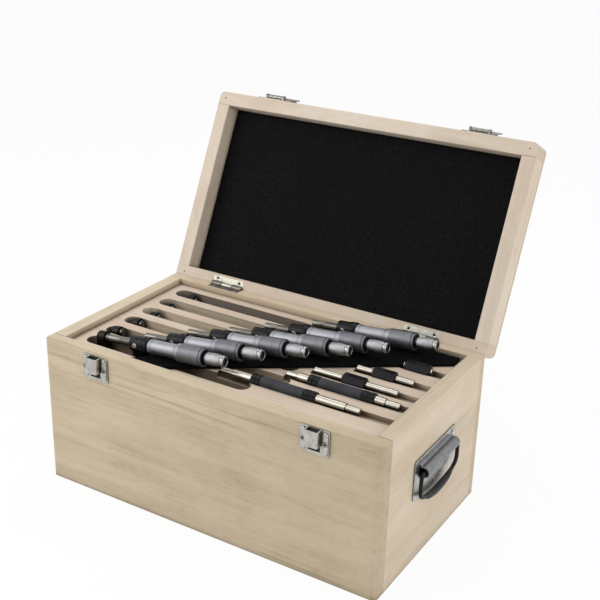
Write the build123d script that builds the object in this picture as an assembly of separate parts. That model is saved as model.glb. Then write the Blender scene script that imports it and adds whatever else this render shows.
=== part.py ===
from build123d import *
import os
from math import cos, radians, sin, tan, hypot, atan2

# Micrometer case: a butt-jointed wooden box with a hinged lid that stands open, a slotted tray
# that holds six outside micrometers (0-25 to 125-150 mm) and five setting standards.
# Millimetres. X runs along the case to the right, Y to the back, Z up from the table.

# ---- case body -------------------------------------------------------------------------------
LENGTH = 318.0
DEPTH = 182.0
HEIGHT = 131.0
WALL = 12.5
CORNER_R = 5.0          # the four upright corners
ARRIS_R = 0.8           # sandpapered edges
BOTTOM_T = 6.0
HALF_X = LENGTH / 2
HALF_Y = DEPTH / 2
IN_X = HALF_X - WALL
IN_Y = HALF_Y - WALL

# ---- lid, drawn shut and then swung open -----------------------------------------------------
RIM_GAP = 0.3
LID_H = 25.0
LID_PANEL_T = 4.5
LID_FOAM_T = 3.5
LID_OPEN = 115.0        # degrees from shut, where the bevels at the back meet
LID_Z0 = HEIGHT + RIM_GAP
LID_TOP = HEIGHT + LID_H
RAIL_TOP = LID_TOP - LID_PANEL_T

# ---- butt hinges -----------------------------------------------------------------------------
HINGE_X = (-99.3, 99.3)
HINGE_W = 33.0
LEAF_T = 1.2
LEAF_Y0 = 80.0
PIN_Y = 88.0
PIN_Z = HEIGHT + RIM_GAP / 2
KNUCKLE_R = 2.5
KNUCKLE_ROOM = 2.85
PIN_R = 1.0
PIN_BORE_R = 1.06
KNUCKLE_GAP = 0.3

# ---- draw latches ----------------------------------------------------------------------------
LATCH_X = (-103.0, 103.0)
FRONT = -HALF_Y
LATCH_PIN_Y = FRONT - 3.4
LATCH_PIN_Z = HEIGHT + 8.8
HASP_OPEN = 170.0
HASP_T = 1.2
HASP_Y = FRONT - 5.0    # middle of the hasp's sheet

# ---- end handles -----------------------------------------------------------------------------
HANDLE_Y = -2.5
BAIL_Z = 82.0
BAIL_X = HALF_X + 5.4
BAIL_R = 1.9
BAIL_ARM = 33.0
GRIP_R = 4.0

# ---- tray ------------------------------------------------------------------------------------
TRAY_TOP = 126.0
TRAY_T = 14.0
TRAY_GAP = 0.2
SLOT_W = 14.6
SLOT_LEFT = -136.5
SLOT_PITCH = 24.4
SLOT_Y = [SLOT_PITCH * (n - 2.5) for n in range(6)]
SLOT_RIGHT = [26.0, 47.0, 40.0, 60.0, 62.0, 78.0]
PAD_T = 2.5

# ---- micrometers, along their own axis from the thimble's right end ---------------------------
TILT = [5.0, 7.0, 6.5, 6.0, 5.2, 4.8]     # the anvil end lies lower, down in its slot
HEAD_X = [-17.5, 2.0, 27.2, 54.2, 76.2, 107.3]
HEAD_DY = [2.0, 1.0, 2.0, 0.0, -1.5, 2.0]
FRAME_T = 6.5
LUG_R = 5.0
BOSS_R = 6.8
THIMBLE_R = 7.75
THIMBLE_L = 27.5
SLEEVE_R = 6.0
SPINDLE_R = 3.25
BOSS_RIGHT = -55.0
BOSS_LEFT = -72.0
SPINDLE_TIP = -98.0
RANGE_STEP = 25.0

# ---- setting standards: left end, right end, y; segments are (length, radius or None for hex) --
STANDARD_Z = 127.0
GROOVE_W = 10.4
GROOVE_Z = 121.7
STANDARDS = {
    125: (-8.0, -49.0, [(11, 2.25), (17, 3.5), (8, 4.6), (37, 4.4), (12, 4.6), (24, 3.5), (16, 2.25)]),
    100: (39.0, -25.6, [(9.6, 2.25), (10, 3.5), (8.7, 4.6), (37, 4.4), (11, 4.6), (8.6, 3.5),
                        (14.4, 2.25)]),
    75: (53.4, -7.7, [(26, 2.5), (20.5, None), (27.5, 2.5)]),
    50: (80.0, 14.8, [(14.4, 2.5), (20, None), (15.6, 2.5)]),
    25: (108.4, 41.3, [(1.5, 2.5), (22, None), (1.5, 2.5)]),
}


# ---- small helpers ---------------------------------------------------------------------------
def block(x0, x1, y0, y1, z0, z1):
    return Pos((x0 + x1) / 2, (y0 + y1) / 2, (z0 + z1) / 2) * Box(x1 - x0, y1 - y0, z1 - z0)


def prism_x(points, x0, x1):
    """Polygon of (y, z) points, from x0 to x1."""
    face = Plane.YZ.offset(x0) * Polygon(*points, align=None)
    return extrude(face, amount=x1 - x0, dir=(1, 0, 0))


def prism_z(points, z0, z1):
    """Polygon of (x, y) points, from z0 to z1."""
    face = Plane.XY.offset(z0) * Polygon(*points, align=None)
    return extrude(face, amount=z1 - z0, dir=(0, 0, 1))


def bar_x(x0, x1, y, z, r):
    return Pos((x0 + x1) / 2, y, z) * Rot(0, 90, 0) * Cylinder(r, x1 - x0)


def bar_y(x, y0, y1, z, r):
    return Pos(x, (y0 + y1) / 2, z) * Rot(90, 0, 0) * Cylinder(r, y1 - y0)


def swing(shape, y, z, degrees):
    """Turn a shape about the X-parallel line through (y, z); positive lifts the front."""
    return Pos(0, y, z) * Rot(-degrees, 0, 0) * Pos(0, -y, -z) * shape


def open_lid(shape):
    return swing(shape, PIN_Y, PIN_Z, LID_OPEN)


def screw(at, out, head_r=1.9, length=9.0, spare=0.0):
    """Countersunk wood screw with its head flush at a point; spare grows it into its hole."""
    shank = head_r * 0.5
    head = Pos(0, 0, -head_r * 0.3) * Cone(shank + spare, head_r + spare, head_r * 0.6)
    body = Pos(0, 0, -length / 2) * Cylinder(shank + spare, length + spare)
    return Plane(origin=at, z_dir=out) * (head + body)


def screws(places):
    return [screw(at, out) for at, out in places]


def drill(shape, places):
    for at, out in places:
        shape -= screw(at, out, spare=0.04)
    return shape


def rounded_path(points, radii):
    """Wire through a row of points with each inner corner turned to its own radius."""
    edges = []
    last = Vector(*points[0])
    for i in range(1, len(points) - 1):
        corner = Vector(*points[i])
        back = (Vector(*points[i - 1]) - corner).normalized()
        ahead = (Vector(*points[i + 1]) - corner).normalized()
        half = radians(back.get_angle(ahead)) / 2
        run = radii[i - 1] / tan(half)
        start = corner + back * run
        end = corner + ahead * run
        middle = corner + (back + ahead).normalized() * (radii[i - 1] / sin(half) - radii[i - 1])
        edges += [Line(last, start), ThreePointArc(start, middle, end)]
        last = end
    edges.append(Line(last, Vector(*points[-1])))
    return Wire(edges)


def tube(points, radii, r, bore=0.0):
    path = rounded_path(points, radii)
    ring = Circle(r) if bore == 0 else Circle(r) - Circle(bore)
    return sweep(Plane(origin=path @ 0, z_dir=path % 0) * ring, path=path)


# ---- where the screws go ---------------------------------------------------------------------
def hinge_screws(z, out):
    return [((x + s * 12.0, 83.0, z), (0, 0, out)) for x in HINGE_X for s in (-1, 1)]


KEEPER_SCREWS = [((x + s * 9.4, FRONT - 1.0, 119.3), (0, -1, 0)) for x in LATCH_X for s in (-1, 1)]
BASE_SCREWS = [((x + s * 12.4, FRONT - 1.0, LATCH_PIN_Z), (0, -1, 0)) for x in LATCH_X for s in (-1, 1)]
BODY_HINGE_SCREWS = hinge_screws(HEIGHT, 1)
LID_HINGE_SCREWS = hinge_screws(LID_Z0, -1)
HANDLE_SCREWS = [(HANDLE_Y - 29.0, 89.5), (HANDLE_Y + 29.0, 89.5), (HANDLE_Y, 61.6)]


def handle_screws(side):
    return [((side * (HALF_X + 1.2), y, z), (side, 0, 0)) for y, z in HANDLE_SCREWS]


# ---- hinges ----------------------------------------------------------------------------------
def knuckle_spans(x, lid):
    third = (HINGE_W - 2 * KNUCKLE_GAP) / 3
    if lid:
        return [(x - third / 2, x + third / 2)]
    return [(x - HINGE_W / 2, x - HINGE_W / 2 + third), (x + HINGE_W / 2 - third, x + HINGE_W / 2)]


def hinge_leaf(x, lid):
    """One leaf with its knuckles round the pin."""
    z0 = LID_Z0 if lid else HEIGHT - LEAF_T
    leaf = block(x - HINGE_W / 2, x + HINGE_W / 2, LEAF_Y0, PIN_Y - KNUCKLE_ROOM, z0, z0 + LEAF_T)
    for x0, x1 in knuckle_spans(x, lid):
        arm = block(x0, x1, PIN_Y - KNUCKLE_ROOM - 0.5, PIN_Y, z0, z0 + LEAF_T)
        leaf += arm + bar_x(x0, x1, PIN_Y, PIN_Z, KNUCKLE_R)
    leaf -= bar_x(x - HINGE_W, x + HINGE_W, PIN_Y, PIN_Z, PIN_BORE_R)
    return leaf


def hinge_leaves(lid):
    leaves = [hinge_leaf(x, lid) for x in HINGE_X]
    places = LID_HINGE_SCREWS if lid else BODY_HINGE_SCREWS
    return [drill(leaf, places) for leaf in leaves]


def hinge_pins():
    return [bar_x(x - HINGE_W / 2, x + HINGE_W / 2, PIN_Y, PIN_Z, PIN_R) for x in HINGE_X]


def hinge_mortise(lid):
    """The wood that both leaves and knuckles take out of the rim behind."""
    cut = []
    for x in HINGE_X:
        x0 = x - HINGE_W / 2 - 0.1
        x1 = x + HINGE_W / 2 + 0.1
        z0 = LID_Z0 - 1 if lid else HEIGHT - LEAF_T - 0.02
        z1 = LID_Z0 + LEAF_T + 0.02 if lid else HEIGHT + 1
        cut.append(block(x0, x1, LEAF_Y0 - 0.1, HALF_Y + 1, z0, z1))
        cut.append(bar_x(x0, x1, PIN_Y, PIN_Z, KNUCKLE_ROOM))
        cut.append(block(x0, x1, PIN_Y, HALF_Y + 1, PIN_Z - KNUCKLE_ROOM, PIN_Z + KNUCKLE_ROOM))
    return cut


def rear_bevel(lid):
    """Chamfer behind the pin; the two chamfers meet when the lid stands open."""
    slope = radians(LID_OPEN / 2 + 0.4)
    way = 1 if lid else -1
    far = 12.0
    low = (PIN_Y + far * cos(slope), PIN_Z + way * far * sin(slope))
    return prism_x([(PIN_Y, PIN_Z), low, (PIN_Y + far, PIN_Z)], -HALF_X - 1, HALF_X + 1)


# ---- case body -------------------------------------------------------------------------------
def round_uprights(shape, y_side):
    """Round the two outer upright corners of a full-length board, then ease its outer arrises."""
    corners = shape.edges().filter_by(Axis.Z).filter_by(lambda e: abs(e.center().Y - y_side) < 0.01)
    return fillet(corners, CORNER_R)


def front_panel():
    panel = round_uprights(block(-HALF_X, HALF_X, -HALF_Y, -IN_Y, 0, HEIGHT), -HALF_Y)
    top = panel.edges().group_by(Axis.Z)[-1]
    panel = fillet(top, ARRIS_R)
    return drill(panel, KEEPER_SCREWS)


def back_panel():
    panel = round_uprights(block(-HALF_X, HALF_X, IN_Y, HALF_Y, 0, HEIGHT), HALF_Y)
    for cut in hinge_mortise(False):
        panel -= cut
    panel -= rear_bevel(False)
    return drill(panel, BODY_HINGE_SCREWS)


def side_panel(side):
    x0, x1 = sorted((side * IN_X, side * HALF_X))
    panel = block(x0, x1, -IN_Y, IN_Y, 0, HEIGHT)
    rims = panel.edges().group_by(Axis.Z)[-1].filter_by(Axis.Y)
    panel = fillet(rims, ARRIS_R)
    return drill(panel, handle_screws(side))


def tray_board():
    board = block(-IN_X + TRAY_GAP, IN_X - TRAY_GAP, -IN_Y + TRAY_GAP, IN_Y - TRAY_GAP,
                  TRAY_TOP - TRAY_T, TRAY_TOP)
    for y, right in zip(SLOT_Y, SLOT_RIGHT):
        middle = (SLOT_LEFT + right) / 2
        slot = Pos(middle, y, TRAY_TOP - TRAY_T - 1) * SlotOverall(right - SLOT_LEFT, SLOT_W)
        board -= extrude(slot, amount=TRAY_T + 2, dir=(0, 0, 1))
    for left, y, _ in STANDARDS.values():
        board -= block(left - 2, IN_X, y - GROOVE_W / 2, y + GROOVE_W / 2, GROOVE_Z, TRAY_TOP + 1)
    return board


def tray_cleats():
    top = TRAY_TOP - TRAY_T
    return [block(*sorted((s * (IN_X - 8), s * IN_X)), -62, 62, top - 10, top) for s in (-1, 1)]


def pad_edge(y):
    """Right border of the foam strip under the thimbles."""
    return -10.5 + 1.39 * (y + 46.7)


def thimble_pad():
    y0 = -75.0
    y1 = 76.0
    right = 142.0
    notch = 107.4       # the strip is cut round the shortest standard
    points = [(-66 + 1.016 * (y0 + 61), y0), (pad_edge(y0), y0)]
    points += [(notch, (notch + 10.5) / 1.39 - 46.7), (notch, 47.2), (pad_edge(47.2), 47.2)]
    points += [(right, (right + 10.5) / 1.39 - 46.7), (right, y1), (-66 + 1.016 * (y1 + 61), y1)]
    return prism_z(points, TRAY_TOP, TRAY_TOP + PAD_T)


def frame_rest_block(frames):
    """Stepped block on the bottom; each frame's lowest point stands just above its own step."""
    steps = None
    for y, frame in zip(SLOT_Y, frames):
        top = frame.bounding_box().min.Z - 0.3
        step = block(-115, -25, y - SLOT_PITCH / 2, y + SLOT_PITCH / 2, BOTTOM_T, top)
        steps = step if steps is None else steps + step
    return steps


# ---- lid (drawn shut) ------------------------------------------------------------------------
def lid_front_rail():
    rail = round_uprights(block(-HALF_X, HALF_X, -HALF_Y, -IN_Y, LID_Z0, RAIL_TOP), -HALF_Y)
    rail = fillet(rail.edges().group_by(Axis.Z)[0], ARRIS_R)
    return drill(rail, BASE_SCREWS)


def lid_rear_rail():
    rail = round_uprights(block(-HALF_X, HALF_X, IN_Y, HALF_Y, LID_Z0, RAIL_TOP), HALF_Y)
    for cut in hinge_mortise(True):
        rail -= cut
    rail -= rear_bevel(True)
    return drill(rail, LID_HINGE_SCREWS)


def lid_side_rail(side):
    x0, x1 = sorted((side * IN_X, side * HALF_X))
    rail = block(x0, x1, -IN_Y, IN_Y, LID_Z0, RAIL_TOP)
    return fillet(rail.edges().group_by(Axis.Z)[0].filter_by(Axis.Y), ARRIS_R)


def lid_panel():
    panel = block(-HALF_X, HALF_X, -HALF_Y, HALF_Y, RAIL_TOP, LID_TOP)
    panel = fillet(panel.edges().filter_by(Axis.Z), CORNER_R)
    return fillet(panel.edges().group_by(Axis.Z)[-1], 1.0)


def lid_foam():
    room = 0.2
    return block(-IN_X + room, IN_X - room, -IN_Y + room, IN_Y - room, RAIL_TOP - LID_FOAM_T, RAIL_TOP)


# ---- latches (drawn shut) --------------------------------------------------------------------
def latch_base(x):
    plate = block(x - 15, x + 15, FRONT - 1, FRONT, LATCH_PIN_Z - 6.5, LATCH_PIN_Z + 6.5)
    plate = fillet(plate.edges().filter_by(Axis.Y), 2.0)
    for side in (-1, 1):
        x0, x1 = sorted((x + side * 8.2, x + side * 9.7))
        ear = block(x0, x1, LATCH_PIN_Y, FRONT - 0.5, LATCH_PIN_Z - 2.6, LATCH_PIN_Z + 2.6)
        plate += ear + bar_x(x0, x1, LATCH_PIN_Y, LATCH_PIN_Z, 2.6)
    plate -= bar_x(x - 10, x + 10, LATCH_PIN_Y, LATCH_PIN_Z, PIN_R + 0.02)
    return drill(plate, BASE_SCREWS)


def latch_pins():
    return [bar_x(x - 10.2, x + 10.2, LATCH_PIN_Y, LATCH_PIN_Z, PIN_R) for x in LATCH_X]


def hasp(x):
    """Stamped ring that drops over the keeper, with a rolled barrel above and a lifting tab below."""
    y0 = HASP_Y - HASP_T / 2
    y1 = HASP_Y + HASP_T / 2
    neck = block(x - 7.9, x + 7.9, y0, y1, 131.5, LATCH_PIN_Z)
    ring = block(x - 10, x + 10, y0, y1, 110.0, 134.0)
    ring = fillet(ring.edges().filter_by(Axis.Y), 3.0)
    window = block(x - 6.6, x + 6.6, y0 - 1, y1 + 1, 114.2, 130.6)
    window = fillet(window.edges().filter_by(Axis.Y), 1.5)
    barrel = bar_x(x - 7.9, x + 7.9, LATCH_PIN_Y, LATCH_PIN_Z, 2.1)
    curl_r = 3.0
    curl_y = y0 - curl_r + HASP_T
    curl = bar_x(x - 4, x + 4, curl_y, 110.5, curl_r) - bar_x(x - 5, x + 5, curl_y, 110.5, curl_r - HASP_T)
    curl -= block(x - 5, x + 5, curl_y - 5, curl_y + 5, 110.5, 115)
    curl -= block(x - 5, x + 5, curl_y - 5, curl_y, 107, 115)
    shape = (ring - window) + neck + barrel + curl
    shape -= bar_x(x - 9, x + 9, LATCH_PIN_Y, LATCH_PIN_Z, PIN_BORE_R)
    return shape


def hasp_open(x):
    return open_lid(swing(hasp(x), LATCH_PIN_Y, LATCH_PIN_Z, HASP_OPEN))


def keeper(x):
    """Plate with a hollow bridge that is open above and below."""
    plate = block(x - 12.7, x + 12.7, FRONT - 1, FRONT, 108.5, 130.0)
    plate = fillet(plate.edges().filter_by(Axis.Y), 2.0)
    bridge = block(x - 5.8, x + 5.8, FRONT - 7, FRONT - 0.5, 116.5, 129.4)
    bridge = fillet(bridge.edges().filter_by(Axis.Z).group_by(Axis.Y)[0], 1.4)
    bridge -= block(x - 4.8, x + 4.8, FRONT - 6, FRONT - 1, 116, 130)
    return drill(plate + bridge, KEEPER_SCREWS)


# ---- handles ---------------------------------------------------------------------------------
def handle_plate(side):
    """Plate pressed round the bail's pivots; flat flanges above and below carry the screws."""
    x0 = HALF_X
    plate = block(x0, x0 + 1.2, HANDLE_Y - 36.5, HANDLE_Y + 36.5, 58.5, 93)
    plate = fillet(plate.edges().filter_by(Axis.X), 3.0)
    barrel = bar_y(BAIL_X - 0.6, HANDLE_Y - 27, HANDLE_Y + 27, BAIL_Z, 4.6)
    barrel += block(x0, BAIL_X - 0.6, HANDLE_Y - 27, HANDLE_Y + 27, BAIL_Z - 4.6, BAIL_Z + 4.6)
    barrel -= block(x0 - 9, x0, HANDLE_Y - 40, HANDLE_Y + 40, BAIL_Z - 9, BAIL_Z + 9)
    plate += barrel
    plate -= bar_y(BAIL_X, HANDLE_Y - 40, HANDLE_Y + 40, BAIL_Z, BAIL_R + 0.06)
    if side < 0:
        plate = mirror(plate, about=Plane.YZ)
    return drill(plate, handle_screws(side))


def bail_points(side):
    x = side * BAIL_X
    arm = BAIL_ARM
    return [(x, HANDLE_Y - 18, BAIL_Z), (x, HANDLE_Y - arm, BAIL_Z), (x, HANDLE_Y - arm, 63.0),
            (x, HANDLE_Y - 13, 55.5), (x, HANDLE_Y + 13, 55.5), (x, HANDLE_Y + arm, 63.0),
            (x, HANDLE_Y + arm, BAIL_Z), (x, HANDLE_Y + 18, BAIL_Z)]


def bail(side):
    return tube(bail_points(side), [4.0, 6.0, 30.0, 30.0, 6.0, 4.0], BAIL_R)


def grip(side):
    _, _, left, low_left, low_right, right, _, _ = bail_points(side)
    start = Vector(*low_left) + (Vector(*left) - Vector(*low_left)) * 0.72
    end = Vector(*low_right) + (Vector(*right) - Vector(*low_right)) * 0.72
    points = [tuple(start), low_left, low_right, tuple(end)]
    return tube(points, [30.0, 30.0], GRIP_R, BAIL_R + 0.03)


# ---- micrometers, drawn along X with the thimble's right end at the origin ---------------------
def seat(shape, n):
    """Lay a micrometer's piece in the case, its thimble's front edge just over the foam strip."""
    height = TRAY_TOP + PAD_T + 0.3 + THIMBLE_R + THIMBLE_L * sin(radians(TILT[n]))
    return Pos(HEAD_X[n], SLOT_Y[n] + HEAD_DY[n], height) * Rot(0, -TILT[n], 0) * shape


def half_ellipse(centre, drop, a, b, top):
    """U outline: straight sides down from top, then half an ellipse."""
    sketch = Pos(centre, -drop) * Ellipse(a, b)
    sketch -= Pos(centre, -drop + b) * Rectangle(4 * a, 2 * b)
    return sketch + Pos(centre, (top - drop) / 2) * Rectangle(2 * a, top + drop)


def slab(sketch, y0, y1):
    """Lift a sketch drawn in X and Z from y0 to y1."""
    return extrude(Plane.XZ.offset(-y0) * sketch, amount=y1 - y0, dir=(0, 1, 0))


def micrometer_frame(n):
    """C-frame with a recessed web, a boss for the head and a domed lug for the anvil."""
    anvil = SPINDLE_TIP - RANGE_STEP * n
    gap = BOSS_LEFT - anvil + 3.0
    centre = (BOSS_LEFT + anvil - 3.0) / 2
    throat = 0.42 * (gap - 3.0) + 18.0
    drop = 9.0
    side = 9.0
    sole = 11.0 + 1.2 * n
    half = FRAME_T / 2
    inner = half_ellipse(centre, drop, gap / 2, throat - drop, 20.0)
    outer = half_ellipse(centre, drop, gap / 2 + side, throat - drop + sole, 0.0)
    frame = slab(outer - inner, -half, half)
    web = half_ellipse(centre, drop, gap / 2 + side - 2.6, throat - drop + sole - 3.2, -drop - 3.0)
    web -= half_ellipse(centre, drop, gap / 2 + 2.6, throat - drop + 3.2, 20.0)
    for y in (-half, half):
        frame -= slab(web, y - 1.5, y + 1.5)
    lug = bar_x(anvil - 12.0, anvil - 3.0, 0, 0, LUG_R)
    frame += fillet(lug.edges().group_by(Axis.X)[0], 3.0)
    frame += bar_x(BOSS_LEFT, BOSS_RIGHT, 0, 0, BOSS_R)
    frame += bar_x(anvil - 6, anvil, 0, 0, SPINDLE_R)
    return frame - bar_x(BOSS_LEFT - 1, BOSS_RIGHT + 1, 0, 0, SPINDLE_R + 0.06)


def micrometer_sleeve():
    return bar_x(BOSS_RIGHT, -2.3, 0, 0, SLEEVE_R) - bar_x(BOSS_RIGHT - 1, -1, 0, 0, SPINDLE_R + 0.3)


def micrometer_spindle():
    return bar_x(SPINDLE_TIP, -2.3, 0, 0, SPINDLE_R)


def micrometer_thimble():
    """Thimble with a bevelled edge and a grooved rim, then a neck and the barrel of the ratchet stop."""
    profile = [(-THIMBLE_L, 0), (-THIMBLE_L, 6.7), (-THIMBLE_L + 5, THIMBLE_R), (-2.4, THIMBLE_R)]
    profile += [(-2.2, THIMBLE_R - 0.5), (-1.7, THIMBLE_R - 0.5), (-1.5, THIMBLE_R), (-0.5, THIMBLE_R)]
    profile += [(0, THIMBLE_R - 0.5), (0, 4.1), (1.5, 4.1), (2.3, 4.7), (9.0, 5.1), (16.2, 4.8)]
    profile += [(16.8, 4.3), (17.4, 4.8), (19.0, 4.7), (19.6, 4.1), (19.6, 3.0), (19.0, 2.8), (19.0, 0)]
    face = Plane.XZ * Polygon(*profile, align=None)
    shape = revolve(face, Axis.X)
    return shape - bar_x(-THIMBLE_L - 1, -2.0, 0, 0, SLEEVE_R + 0.08)


# ---- standards -------------------------------------------------------------------------------
def standard(left, y, segments):
    shape = None
    x = left
    for length, r in segments:
        if r is None:
            flats = Plane.YZ.offset(x) * Pos(y, STANDARD_Z) * RegularPolygon(4.75, 6, major_radius=False)
            piece = extrude(flats, amount=length, dir=(1, 0, 0))
        else:
            piece = bar_x(x, x + length, y, STANDARD_Z, r)
        shape = piece if shape is None else shape + piece
        x += length
    return shape


# ---- the parts -------------------------------------------------------------------------------
def make_parts():
    frames = [seat(micrometer_frame(n), n) for n in range(6)]
    parts = {
        "front_panel": front_panel(),
        "back_panel": back_panel(),
        "left_panel": side_panel(-1),
        "right_panel": side_panel(1),
        "bottom_panel": block(-IN_X, IN_X, -IN_Y, IN_Y, 0, BOTTOM_T),
        "tray_board": tray_board(),
        "tray_cleats": tray_cleats(),
        "frame_rest_block": frame_rest_block(frames),
        "thimble_pad": thimble_pad(),
        "keepers": [keeper(x) for x in LATCH_X],
        "case_hinge_leaves": hinge_leaves(False),
        "hinge_pins": hinge_pins(),
        "case_screws": screws(KEEPER_SCREWS + BODY_HINGE_SCREWS + handle_screws(-1) + handle_screws(1)),
        "handle_plate_left": handle_plate(-1),
        "handle_plate_right": handle_plate(1),
        "bail_left": bail(-1),
        "bail_right": bail(1),
        "grip_left": grip(-1),
        "grip_right": grip(1),
        "hasp_left": hasp_open(LATCH_X[0]),
        "hasp_right": hasp_open(LATCH_X[1]),
    }
    lid = {
        "lid_front_rail": lid_front_rail(),
        "lid_rear_rail": lid_rear_rail(),
        "lid_left_rail": lid_side_rail(-1),
        "lid_right_rail": lid_side_rail(1),
        "lid_panel": lid_panel(),
        "lid_foam": lid_foam(),
        "lid_hinge_leaves": hinge_leaves(True),
        "lid_screws": screws(LID_HINGE_SCREWS + BASE_SCREWS),
        "latch_bases": [latch_base(x) for x in LATCH_X],
        "latch_pins": latch_pins(),
    }
    for name, shape in lid.items():
        parts[name] = [open_lid(s) for s in shape] if isinstance(shape, list) else open_lid(shape)
    for n in range(6):
        parts[f"micrometer_{n + 1}_frame"] = frames[n]
        parts[f"micrometer_{n + 1}_sleeve"] = seat(micrometer_sleeve(), n)
        parts[f"micrometer_{n + 1}_spindle"] = seat(micrometer_spindle(), n)
        parts[f"micrometer_{n + 1}_thimble"] = seat(micrometer_thimble(), n)
    for size, (left, y, segments) in STANDARDS.items():
        parts[f"standard_{size}"] = standard(left, y, segments)
    return parts


os.makedirs("parts", exist_ok=True)
for name, shape in make_parts().items():
    solid = Compound(children=shape) if isinstance(shape, list) else shape
    export_step(solid, f"parts/{name}.step")
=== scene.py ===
from itertools import product
from math import atan2, ceil, cos, hypot, pi, radians, sin

import bpy
from mathutils import Matrix, Vector


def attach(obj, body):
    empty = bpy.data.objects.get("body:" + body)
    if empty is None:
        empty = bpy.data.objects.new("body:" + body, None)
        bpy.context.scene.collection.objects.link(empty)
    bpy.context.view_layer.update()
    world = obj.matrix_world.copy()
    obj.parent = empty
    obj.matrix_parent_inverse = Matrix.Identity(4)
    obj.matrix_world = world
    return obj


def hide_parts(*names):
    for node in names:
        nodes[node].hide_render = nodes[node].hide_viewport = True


MM = 0.001
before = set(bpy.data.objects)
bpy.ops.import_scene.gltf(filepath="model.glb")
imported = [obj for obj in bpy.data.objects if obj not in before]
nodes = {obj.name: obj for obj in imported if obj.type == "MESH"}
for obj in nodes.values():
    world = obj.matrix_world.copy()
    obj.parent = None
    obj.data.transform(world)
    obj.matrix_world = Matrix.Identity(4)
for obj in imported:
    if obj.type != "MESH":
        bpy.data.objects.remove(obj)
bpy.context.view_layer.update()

# ---- the case's own measures, in millimetres ----
# X runs along the front, Y from front to back and Z up from the floor.
HALF_X, HALF_Y, HEIGHT, WALL = 159.0, 91.0, 131.0, 12.5
IN_X, IN_Y = HALF_X - WALL, HALF_Y - WALL
FRONT = -HALF_Y
PIN_Y, PIN_Z = 88.0, 131.15  # the lid's hinge line
LID_OPEN = 115.0  # degrees from shut
LID_Z0, RAIL_TOP = 131.3, 151.5  # the lid's rails while it is shut
LID_FOAM_T = 3.5
TRAY_TOP, PAD_T = 126.0, 2.5
LATCH_X, HINGE_X = (-103.0, 103.0), (-99.3, 99.3)
LATCH_PIN_Z, HANDLE_Y = 139.8, -2.5

# Each micrometer: its lean in degrees, and its thimble's right end. Measures along a micrometer
# run from that end, negative towards the anvil.
TILT = [5.0, 7.0, 6.5, 6.0, 5.2, 4.8]
HEAD_X = [-17.5, 2.0, 27.2, 54.2, 76.2, 107.3]
HEAD_Y = [24.4 * (n - 2.5) + d for n, d in enumerate([2.0, 1.0, 2.0, 0.0, -1.5, 2.0])]
HEAD_GAP = 0.3  # between the thimbles and the strip under them
THIMBLE_R, THIMBLE_L, SLEEVE_R, SPINDLE_R = 7.75, 27.5, 6.0, 3.25
BOSS_RIGHT, SPINDLE_TIP, RANGE_STEP = -55.0, -98.0, 25.0

# Each setting standard: left end, Y, and the kinds and lengths of its parts from left to right.
STANDARD_Z = 127.0
STANDARDS = {
    125: (-8.0, -49.0, "rRbgbRr", [11.2, 18, 8.6, 39, 10.6, 25.6, 12]),
    100: (39.0, -25.6, "rRbgbRr", [9.8, 10.2, 9.4, 38.1, 10.9, 8.9, 12]),
    75: (53.4, -7.7, "rhr", [26, 20.5, 27.5]),
    50: (80.0, 14.8, "rhr", [14.4, 20, 15.6]),
    25: (108.4, 41.3, "rhr", [1.5, 22, 1.5]),
}


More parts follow.
